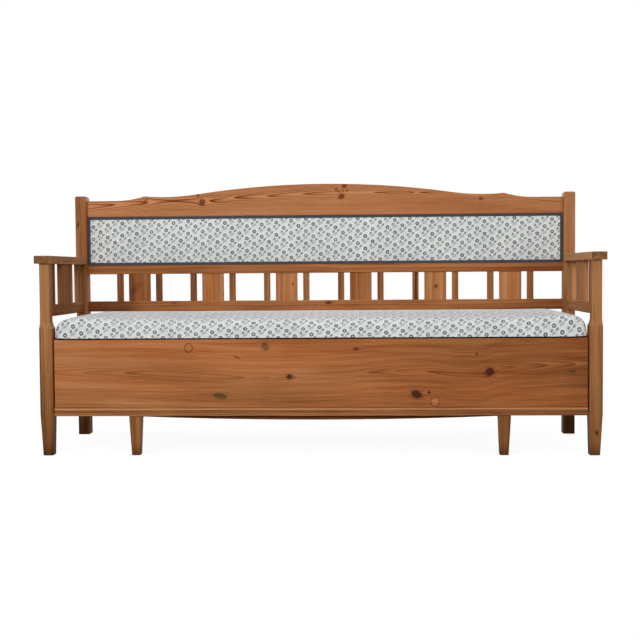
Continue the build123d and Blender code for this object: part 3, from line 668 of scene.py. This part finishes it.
# Pieces that share one material: their names, look and knots
sides = ("left", "right")
slatPlaces = ("front", "wide", "rear")
groups = {
    "wideSlats": ([f"wide_slat_{i}" for i in range(1, 7)], {
        "axes": "zxy", "face": 0.257, "row": "x", "pitch": 0.2884, "rowShift": 0.0,
        "pithDepth": 0.03, "seed": 11.0, "darkness": 0.42, "tilt": -0.2, "toneSpread": 0.12,
        "olive": 0.3,
        "zones": [
            ("x", -0.25, 0.0, 0.02, -0.12),
        ],
    }, [
        (0.574, -0.747, 0.062, 0.026, 0.78, 0.13, 0.0, 0.25),
        (0.590, -0.122, 0.009, 0.008, 0.0, 0.5, 0.0, 0.0),
        (0.578, 0.440, 0.016, 0.012, 0.6, 0.45, 0.0, 0.0),
    ]),
    "narrowSlats": ([f"narrow_slats_{i}" for i in range(1, 7)], {
        "axes": "zxy", "face": 0.257, "row": "x", "pitch": 0.0895, "pithDepth": 0.03, "seed": 12.0,
        "darkness": 0.53, "tilt": -0.10, "toneSpread": 0.10, "olive": 0.3, "tan": 0.2,
        "zones": [
            ("x", -1.0, -0.80, 0.02, 0.16),
        ],
    }, ()),
    "armSlats": ([f"arm_slat_{where}_{side}" for where in slatPlaces for side in sides], {
        "axes": "zyx", "face": 0.956, "mirrored": True, "row": "y", "pitch": 0.178,
        "pithDepth": 0.04, "seed": 13.0, "darkness": 0.36, "tilt": -0.15, "olive": 0.3, "tan": 0.2,
        "gloss": 0.01,
    }, ()),
    "armRails": ([f"arm_rail_{side}" for side in sides], {
        "axes": "yzx", "face": 0.956, "mirrored": True, "pithAcross": 0.48, "pithDepth": 0.04,
        "seed": 14.0, "darkness": 0.42, "tilt": -0.15, "olive": 0.4, "tan": 0.3, "gloss": 0.01,
    }, ()),
    "pullLegs": ([f"pull_leg_{side}" for side in sides], {
        "axes": "zxy", "face": -0.271, "row": "x", "pitch": 1.0, "pithDepth": 0.05, "seed": 15.0,
        "darkness": 0.63, "tilt": 0.08, "late": 0.35, "olive": 0.4, "tan": 0.4,
        "foot": (0.05, 0.8),
    }, ()),
    "endPanels": ([f"end_panel_{side}" for side in sides], {
        "axes": "yzx", "face": 0.96, "mirrored": True, "pithAcross": 0.27, "pithDepth": 0.03,
        "seed": 16.0, "darkness": 0.46, "olive": 0.4,
    }, ()),
    "backBoards": (["box_back", "back_board"], {
        "axes": "xzy", "face": 0.27, "pithAcross": 0.30, "pithDepth": 0.02, "seed": 17.0,
        "darkness": 0.46, "olive": 0.5, "roughness": 0.5,
    }, ()),
    "pegs": (["rail_pegs"], {
        "axes": "yxz", "face": 0.9, "pithDepth": 0.01, "seed": 18.0, "darkness": 0.62,
        "olive": 0.3,
    }, ()),
}


def cover(name, material):
    nodes[name].data.materials.clear()
    nodes[name].data.materials.append(material)


done = set(boards)
for name, (look, knots) in boards.items():
    cover(name, pine(name + "Pine", look, knots))
for name, (members, look, knots) in groups.items():
    material = pine(name + "Pine", look, knots)
    for member in members:
        cover(member, material)
        done.add(member)

# Inside, the wood was never stained: paler, drier boards
rawTones = {"pale": tone(226, 188, 140), "mid": tone(200, 154, 104), "deep": tone(160, 106, 64)}
raw = {"face": 0.0, "darkness": 0.36, "olive": 0.3, "roughness": 0.58, "tones": rawTones, "ring": 0.0036}
rawAcrossBench = pine("rawPineAlongBench", {**raw, "axes": "xzy", "seed": 21.0, "pithAcross": 0.3})
rawSlats = pine("rawPineSlats", {**raw, "axes": "yxz", "seed": 22.0, "row": "x", "pitch": 0.1086,
                                 "pithDepth": 0.2, "toneSpread": 0.2})
# The seat board's front edge shows under the pad; it is made dark as a painted shade line below the pad.
paintedShadeBoard = pine("paintedShadeSeatBoard", {**raw, "axes": "xzy", "seed": 23.0, "pithAcross": 0.5, "darkness": 0.95})
inner = {"seat_board": paintedShadeBoard, "seat_cleats": rawSlats}
for name in nodes:
    if name in done:
        continue
    low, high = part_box(name)
    lengthwise = high.x - low.x > 1.0 and "slats" not in name
    cover(name, inner.get(name, rawAcrossBench if lengthwise else rawSlats))
print("wood finished")


# Printed cotton: rings of petals with two leaves and a pale sprig, in columns that step down.
cotton = {
    "ground": tone(207, 209, 205),
    "shade": tone(180, 184, 183),
    "halo": tone(226, 229, 227),
    "ring": tone(46, 48, 58),
    "leaf": tone(96, 100, 103),
    "sprig": tone(130, 136, 136),
    "thread": 0.0006,
    "slubScale": (60.0, 900.0),
    "cloudScale": 9.0,
    "cloudDepth": 1.3,
    "slubDepth": 0.6,
    "shadeLevel": 0.42,
    "bleed": 0.0016,
    "bleedScale": 240.0,
    "motifSteps": (3.1, 17.3),  # keep the random numbers of the motifs apart
    "inkScale": 700.0,
    "inkDepth": 0.3,
    "wash": (0.14, 0.86),  # some rings are printed weaker
    "sat": -0.3,  # the print is paler on upward faces: painted sheen of a top seen at a low angle
    "upFacing": (0.5, 0.95),
    "haloStrength": 0.7,
    "sprigStrength": 0.8,
    "leafStrength": 0.65,
    "ringStrength": 0.75,
    "roughness": (0.9, 0.06),
    "weaveRelief": 0.5,
    "slubRelief": 0.6,
    "relief": (0.00025, 0.5),  # its depth and strength
    "sheen": {"Sheen_Weight": 0.15, "Sheen_Roughness": 0.5},
    "petals": 6.0,
    "petalDepth": 0.0005,
    "ringOuter": (0.0090, 0.0074),
    "ringInner": (0.0012, 0.0027),
    "haloEdge": (0.0130, 0.0090),
    "columnShare": 0.43,  # of the motif's cell that lies left of its ring
    "rowShare": 0.66,
    # across, up, width, height, angle, softness and strength, from the ring's centre
    "leaves": [
        (0.0116, -0.0108, 0.0128, 0.0090, 0.55, 0.3, 1.0),
        (-0.0078, -0.0157, 0.0118, 0.0092, 1.05, 0.3, 1.0),
    ],
    "sprigs": [
        (0.0003, -0.0238, 0.0140, 0.0078, 0.2, 0.5, 0.85),
        (-0.0052, -0.0275, 0.0070, 0.0050, 0.6, 0.3, 1.0),
        (0.0040, -0.0196, 0.0064, 0.0050, 0.2, 0.3, 0.8),
    ],
}


# 1 inside any of these soft ellipses
def ellipses(shade, x, y, shapes):
    inside = 0.0
    for cx, cy, width, height, angle, soft, strength in shapes:
        turn, lean = math.cos(angle), math.sin(angle)
        dx, dy = x - cx, y - cy
        across = (dx * turn + dy * lean) * (2 / width)
        up = (dy * turn - dx * lean) * (2 / height)
        each = (across * across + up * up).fade(1 + soft, 1 - soft) * strength
        inside = each.math("MAXIMUM", inside)
    return inside


# origin is a ring's centre; column, row and step are the spacing of the repeat
def printedCotton(name, originU, originV, columnWidth, rowHeight, columnStep):
    shade = Shade(name)
    u, v, w = shade.add("UVMap", {"uv_map": "cloth"}, {}).split()
    bleed = shade.noise(shade.point(u, v), cotton["bleedScale"], 1) - 0.5
    bleedV = shade.noise(shade.point(u, v, 4.0), cotton["bleedScale"], 1) - 0.5
    x = u - originU + bleed * cotton["bleed"]
    y = v - originV + bleedV * cotton["bleed"]
    column = (x / columnWidth + cotton["columnShare"]).math("FLOOR")
    x = x - column * columnWidth
    y = y + column * columnStep
    row = (y / rowHeight + cotton["rowShare"]).math("FLOOR")
    y = y - row * rowHeight
    columnKey, rowKey = cotton["motifSteps"]
    each = shade.chance(column * columnKey + row * rowKey)
    reach = (x * x + y * y).math("SQRT")
    angle = y.math("ARCTAN2", x)
    petals = (angle * cotton["petals"] + each * cotton["petals"]).math("COSINE")
    ring = reach - petals * cotton["petalDepth"]
    flower = ring.fade(*cotton["ringOuter"]) * ring.fade(*cotton["ringInner"])
    halo = reach.fade(*cotton["haloEdge"])
    leaves = ellipses(shade, x, y, cotton["leaves"])
    sprig = ellipses(shade, x, y, cotton["sprigs"])

    threads = math.tau / cotton["thread"]
    warp = (u * threads).math("SINE")
    weft = (v * threads).math("SINE")
    weave = warp * weft
    slubU, slubV = cotton["slubScale"]
    slub = shade.noise(shade.point(u * slubU, v * slubV), 1.0, 1) - 0.5
    cloud = shade.noise(shade.point(u, v), cotton["cloudScale"], 2) - 0.5
    ink = shade.noise(shade.point(u, v), cotton["inkScale"], 1)
    wash = each * cotton["wash"][0] + cotton["wash"][1]
    shaded = cloud * cotton["cloudDepth"] + cotton["shadeLevel"] + slub * cotton["slubDepth"]
    ground = shade.mix(shaded, cotton["ground"], cotton["shade"])
    ground = shade.mix(halo * cotton["haloStrength"], ground, cotton["halo"])
    upward = shade.add("TexCoord", {}, {}, "Normal").split()[2]
    # Painted sheen: the ink is paler on upward faces.
    strength = upward.fade(*cotton["upFacing"]) * cotton["sat"] + 1.0
    leafInk = ink * cotton["inkDepth"] + cotton["leafStrength"]
    ringInk = ink * cotton["inkDepth"] + cotton["ringStrength"]
    colour = shade.mix(sprig * strength * cotton["sprigStrength"], ground, cotton["sprig"])
    colour = shade.mix(leaves * strength * leafInk, colour, cotton["leaf"])
    colour = shade.mix(flower * strength * wash * ringInk, colour, cotton["ring"])
    height = weave * cotton["weaveRelief"] + slub * cotton["slubRelief"]
    roughness = cotton["roughness"][0] - ink * cotton["roughness"][1]
    return shade.surface(colour, roughness, height, *cotton["relief"], **cotton["sheen"])


seatCotton = printedCotton("seatCotton", 0.0054, 0.0400, 0.0287, 0.0497, 0.0215)
backCotton = printedCotton("backCotton", 0.0193, 0.7343, 0.02898, 0.0481, 0.0207)


# A pad starts as the outer form of its solid, without the pocket for the board.
def outerForm(name, node, shrink):
    shape = bmesh.new()
    shape.from_mesh(nodes[node].data)
    hull = bmesh.ops.convex_hull(shape, input=shape.verts)
    keep = {item for item in hull["geom"] if isinstance(item, bmesh.types.BMFace)}
    bmesh.ops.delete(shape, geom=[face for face in shape.faces if face not in keep], context="FACES")
    loose = [vert for vert in shape.verts if not vert.link_faces]
    bmesh.ops.delete(shape, geom=loose, context="VERTS")
    low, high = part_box(node)
    for vert in shape.verts:
        for axis in range(3):
            start, end = low[axis] + shrink[axis][0], high[axis] - shrink[axis][1]
            share = (vert.co[axis] - low[axis]) / (high[axis] - low[axis])
            vert.co[axis] = start + share * (end - start)
    mesh = bpy.data.meshes.new(name)
    shape.to_mesh(mesh)
    shape.free()
    piece = bpy.data.objects.new(name, mesh)
    bpy.context.scene.collection.objects.link(piece)
    return piece


def bakeModifiers(piece):
    bpy.context.view_layer.update()
    graph = bpy.context.evaluated_depsgraph_get()
    mesh = bpy.data.meshes.new_from_object(piece.evaluated_get(graph))
    piece.modifiers.clear()
    piece.data = mesh


def voxels(piece, size):
    remesh = piece.modifiers.new("voxels", "REMESH")
    remesh.mode = "VOXEL"
    remesh.voxel_size = size
    remesh.use_smooth_shade = True
    bakeModifiers(piece)


stuffing = {"quality": 5, "mass": 0.3, "shearShare": 1 / 3}


# Blows the cover up a little against its pinned points. No point may sink into the filling by
# more than "give", nor move further than "reach".
def stuff(piece, look, pinned):
    start = [vert.co.copy() for vert in piece.data.vertices]
    outward = [vert.normal.copy() for vert in piece.data.vertices]
    group = piece.vertex_groups.new(name="held")
    for index, place in enumerate(start):
        weight = pinned(place)
        if weight > 0:
            group.add([index], weight, "REPLACE")
    cloth = piece.modifiers.new("stuffing", "CLOTH")
    cloth.settings.quality = stuffing["quality"]
    cloth.settings.mass = stuffing["mass"]
    cloth.settings.tension_stiffness = look["tension"]
    cloth.settings.compression_stiffness = look["tension"]
    cloth.settings.shear_stiffness = look["tension"] * stuffing["shearShare"]
    cloth.settings.bending_stiffness = look["bending"]
    cloth.settings.use_pressure = True
    cloth.settings.uniform_pressure_force = look["pressure"]
    cloth.settings.vertex_group_mass = "held"
    cloth.settings.effector_weights.gravity = 0
    scene = bpy.context.scene
    for step in range(1, look["steps"] + 1):
        scene.frame_set(step)
    bakeModifiers(piece)
    scene.frame_set(1)
    for vert, place, normal in zip(piece.data.vertices, start, outward):
        move = vert.co - place
        move -= normal * min(0.0, move.dot(normal) + look["give"])
        if move.length > look["reach"]:
            move *= look["reach"] / move.length
        vert.co = place + move


def smoothed(piece):
    for polygon in piece.data.polygons:
        polygon.use_smooth = True
    fine = piece.modifiers.new("fine", "SUBSURF")
    fine.levels = fine.render_levels = 1


seatLook = {
    "voxel": 0.009,
    "shrink": ((-0.001, -0.001), (0.001, 0.003), (-0.012, 0.0055)),
    "tension": 18.0,
    "bending": 2.0,
    "pressure": 4.0,
    "steps": 20,
    "reach": 0.004,
    "give": 0.0006,
    "staplePitch": 0.055,
    "stapleShare": 0.35,
    "stapleBand": 0.03,  # how far in from the edge the staples stand
    "heldHeight": 0.006,  # the lowest part of the cover, which is held
    "roll": 0.034,
    "backRoll": 0.030,
    "endRoll": 0.050,
    "sag": 0.020,
    "sagDepth": 0.16,
    "ends": 0.25,
    "leftLift": 0.8,
    "rightLift": 1.2,
}


def seatPinned(place):
    if place.z > seatBottom + seatLook["heldHeight"]:
        return 0.0
    fromLong = min(place.y - seatLow.y, seatHigh.y - place.y)
    if min(seatHigh.x - abs(place.x), fromLong) > seatLook["stapleBand"]:
        return 1.0
    along = place.x if fromLong < seatLook["stapleBand"] else place.y
    wave = abs(math.sin(math.pi * along / seatLook["staplePitch"]))
    return 1.0 if wave < seatLook["stapleShare"] else 0.0


def flattenUnderside(piece):
    for vert in piece.data.vertices:
        vert.co.z = max(vert.co.z, seatBottom)


# The front is sat down by use, and the ends keep fuller.
def sitDown(piece):
    level = seatHigh.z - seatLook["shrink"][2][1]
    for vert in piece.data.vertices:
        inward = max(0.0, 1 - (vert.co.y - seatLow.y) / seatLook["sagDepth"])
        middle = min(1.0, (seatHigh.x - abs(vert.co.x)) / seatLook["ends"])
        share = (vert.co.z - seatBottom) / (seatHigh.z - seatBottom)
        lift = seatLook["leftLift" if vert.co.x < 0 else "rightLift"] * (1 - middle)
        lift *= max(0.0, level - vert.co.z)
        vert.co.z += (lift - seatLook["sag"] * inward ** 2 * middle) * share ** 2


# Distance along a section that runs up a wall, round a roll of this radius, and then level.
def unroll(inward, height, top, roll):
    if inward >= roll:
        return top - roll + roll * math.pi / 2 + inward - roll
    if height >= top - roll:
        return top - roll + roll * math.atan2(height - (top - roll), roll - inward)
    return height


# Cloth coordinates in metres. The print runs over the front, the top and the back in one length,
# and down the ends in the other, with a fold at each corner.
def layCloth(piece, mapping):
    layer = piece.data.uv_layers.new(name="cloth")
    for polygon in piece.data.polygons:
        for loop, vertex in zip(polygon.loop_indices, polygon.vertices):
            layer.data[loop].uv = mapping(piece.data.vertices[vertex].co, polygon.normal)


def seatMapping(place, normal):
    top = seatHigh.z - seatBottom
    height = place.z - seatBottom
    front, back, end = seatLook["roll"], seatLook["backRoll"], seatLook["endRoll"]
    level = top + front * (math.pi / 2 - 2)
    if abs(normal.x) > abs(normal.y):
        whole = seatHigh.x + top + end * (math.pi / 2 - 2)
        along = whole - unroll(seatHigh.x - abs(place.x), height, top, end)
        return (math.copysign(along, place.x), level + place.y - seatLow.y)
    if place.y > 0:
        whole = level + seatHigh.y - seatLow.y + top + back * (math.pi / 2 - 2)
        return (place.x, whole - unroll(seatHigh.y - place.y, height, top, back))
    return (place.x, unroll(place.y - seatLow.y, height, top, front))


seatLow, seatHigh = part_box("seat_pad")
seatBottom = seatLow.z
seatPad = outerForm("seatPadCloth", "seat_pad", seatLook["shrink"])
voxels(seatPad, seatLook["voxel"])
flattenUnderside(seatPad)
stuff(seatPad, seatLook, seatPinned)
layCloth(seatPad, seatMapping)
sitDown(seatPad)
seatPad.data.materials.append(seatCotton)
smoothed(seatPad)
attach(seatPad, "seat")
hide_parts("seat_pad")
print("seat covered:", len(seatPad.data.vertices), "points")

backLook = {
    "voxel": 0.006,
    "shrink": ((0.002, 0.002), (0.002, 0.0), (0.002, 0.002)),
    "tension": 20.0,
    "bending": 2.0,
    "pressure": 3.0,
    "steps": 16,
    "reach": 0.006,
    "give": 0.0004,
    "heldBorder": 0.010,
    "heldBehind": 0.256,
}


def backPinned(place):
    across = min(place.x - backLow.x, backHigh.x - place.x)
    border = min(across, place.z - backLow.z, backHigh.z - place.z)
    return 1.0 if border < backLook["heldBorder"] or place.y > backLook["heldBehind"] else 0.0


backLow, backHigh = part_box("back_pad")
backPad = outerForm("backPadCloth", "back_pad", backLook["shrink"])
voxels(backPad, backLook["voxel"])
stuff(backPad, backLook, backPinned)
layCloth(backPad, lambda place, normal: (place.x, place.z))
backPad.data.materials.append(backCotton)
smoothed(backPad)
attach(backPad, "carcass")
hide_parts("back_pad")
print("back covered:", len(backPad.data.vertices), "points")


# Gimp braid: two corded edges and a zigzag between them, run round the back panel.
braidLook = {
    "segment": 0.0016,
    "corner": 0.010,
    "width": 0.0106,
    "height": 0.0028,
    "twist": 0.0048,
    "zigzag": 0.0064,
    "clear": 0.0002,  # inside the flat strip that it replaces
    "glued": 0.97,  # the flat edge, as a share of half the width
    "cordFrom": 0.5,
    "cordCentre": 0.76,
    "cordSpan": 0.56,
    "cordLow": 0.55,
    "twistDepth": 0.14,
    "twistSkew": 4.0,
    "notchFrom": 0.8,
    "notchDepth": 0.04,
    "zigzagLean": 9.0,
    "zigzagLift": 0.60,
    "zigzagDepth": 0.14,
    # places across the braid, from one edge (-1) to the other (1)
    "section": [-1.0, -1.0, -0.86, -0.66, -0.5, -0.3, 0.0, 0.3, 0.5, 0.66, 0.86, 1.0, 1.0],
    "tone": tone(38, 39, 48),
    "light": tone(80, 81, 93),
    "twistLean": 0.9,
    "chevronLean": 1.2,
    "cordEdge": (0.0024, 0.0030),
    "fuzzScale": 1800.0,
    "wornScale": 30.0,
    "lineDepth": 0.28,
    "fuzzDepth": 0.5,
    "wornDepth": 0.5,
    "roughness": 0.85,
    "lineRelief": 0.5,
    "relief": (0.0004, 0.8),
    "sheen": {"Sheen_Weight": 0.2},
}


def onCircle(cx, cz, radius, degrees):
    angle = math.radians(degrees)
    return Vector((cx + radius * math.cos(angle), 0, cz + radius * math.sin(angle)))


def roundedPath(low, high, radius, inset, step):
    left, right = low.x + inset, high.x - inset
    bottom, top = low.z + inset, high.z - inset
    centres = [
        (right - radius, bottom + radius, -90), (right - radius, top - radius, 0),
        (left + radius, top - radius, 90), (left + radius, bottom + radius, 180),
    ]
    turns = max(3, round(radius * math.pi / 2 / step))
    points = []
    for index, (cx, cz, begin) in enumerate(centres):
        points += [onCircle(cx, cz, radius, begin + 90 * i / turns) for i in range(turns)]
        nx, nz, nextBegin = centres[(index + 1) % 4]
        start = onCircle(cx, cz, radius, begin + 90)
        end = onCircle(nx, nz, radius, nextBegin)
        runs = round((end - start).length / step)
        points += [start.lerp(end, i / runs) for i in range(runs)]
    return points


# How far out and how high one place of the section lies, at this turn along the braid
def braidPoint(index, turn, twists, zigzags):
    look = braidLook
    half, height = look["width"] / 2, look["height"]
    share = look["section"][index]
    out = abs(share)
    if index in (0, len(look["section"]) - 1):  # glued down along both edges
        return half * look["glued"], 0.0
    if out > look["cordFrom"]:  # a twisted cord
        bulge = math.cos((out - look["cordCentre"]) * math.pi / look["cordSpan"])
        domed = look["cordLow"] + (1 - look["cordLow"]) * bulge
        twisted = math.sin(turn * twists + share * look["twistSkew"])
        lift = height * domed * (1 + look["twistDepth"] * (twisted - 1))
        notch = look["notchDepth"] * (1 - math.sin(turn * twists)) * (out > look["notchFrom"])
        return half * out * (1 - notch), lift
    wave = math.sin(turn * zigzags + out * look["zigzagLean"])  # threads between the cords
    return half * out, height * (look["zigzagLift"] + look["zigzagDepth"] * wave)


def braidMesh(path, travelled, whole, face):
    section = braidLook["section"]
    count, width = len(path), len(section)
    twists = round(whole / braidLook["twist"])
    zigzags = round(whole / braidLook["zigzag"])
    verts, faces = [], []
    for i, point in enumerate(path):
        ahead = (path[(i + 1) % count] - path[i - 1]).normalized()
        side = Vector((ahead.z, 0, -ahead.x))
        turn = travelled[i] / whole * math.tau
        for j, share in enumerate(section):
            reach, lift = braidPoint(j, turn, twists, zigzags)
            out = reach if share > 0 else -reach
            verts.append((point.x + side.x * out, face - lift, point.z + side.z * out))
    for i in range(count):
        here, after = i * width, (i + 1) % count * width
        for j in range(width - 1):
            faces.append((here + j, here + j + 1, after + j + 1, after + j))
        faces.append((here + width - 1, here, after, after + width - 1))
    mesh = bpy.data.meshes.new("backBraidGimp")
    mesh.from_pydata(verts, [], faces)
    layer = mesh.uv_layers.new(name="cloth")
    for polygon in mesh.polygons:
        steps = [vertex // width for vertex in polygon.vertices]
        wraps = max(steps) - min(steps) > 1
        for loop, vertex, step in zip(polygon.loop_indices, polygon.vertices, steps):
            along = whole if wraps and step == 0 else travelled[step]
            layer.data[loop].uv = (along, section[vertex % width] * braidLook["width"] / 2)
        polygon.use_smooth = True
    mesh.update()
    return mesh


def braidMaterial():
    look = braidLook
    shade = Shade("navyBraid")
    u, v, w = shade.add("UVMap", {"uv_map": "cloth"}, {}).split()
    offset = v.math("ABSOLUTE")
    threads = 3 * math.tau  # three threads to each twist and each zigzag
    twist = ((u + v * look["twistLean"]) * (threads / look["twist"])).math("SINE")
    chevron = ((u + offset * look["chevronLean"]) * (threads / look["zigzag"])).math("SINE")
    cord = offset.fade(*look["cordEdge"])
    lines = cord * twist + (1 - cord) * chevron
    fuzz = shade.noise(shade.point(u, v), look["fuzzScale"], 2) - 0.5
    worn = shade.noise(shade.point(u, v), look["wornScale"], 2)
    light = lines * look["lineDepth"] + fuzz * look["fuzzDepth"] + worn * look["wornDepth"]
    colour = shade.mix(light.math("MAXIMUM", 0.0), look["tone"], look["light"])
    height = lines * look["lineRelief"] + fuzz
    return shade.surface(colour, look["roughness"], height, *look["relief"], **look["sheen"])


def makeBraid():
    low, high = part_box("back_braid")
    inset = braidLook["width"] / 2 + braidLook["clear"]
    path = roundedPath(low, high, braidLook["corner"], inset, braidLook["segment"])
    travelled = [0.0]
    for before, after in zip(path, path[1:]):
        travelled.append(travelled[-1] + (after - before).length)
    whole = travelled[-1] + (path[0] - path[-1]).length
    mesh = braidMesh(path, travelled, whole, high.y)
    mesh.materials.append(braidMaterial())
    piece = bpy.data.objects.new("backBraidGimp", mesh)
    bpy.context.scene.collection.objects.link(piece)
    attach(piece, "carcass")
    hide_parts("back_braid")
    print("braid run:", round(whole, 3), "m")


makeBraid()
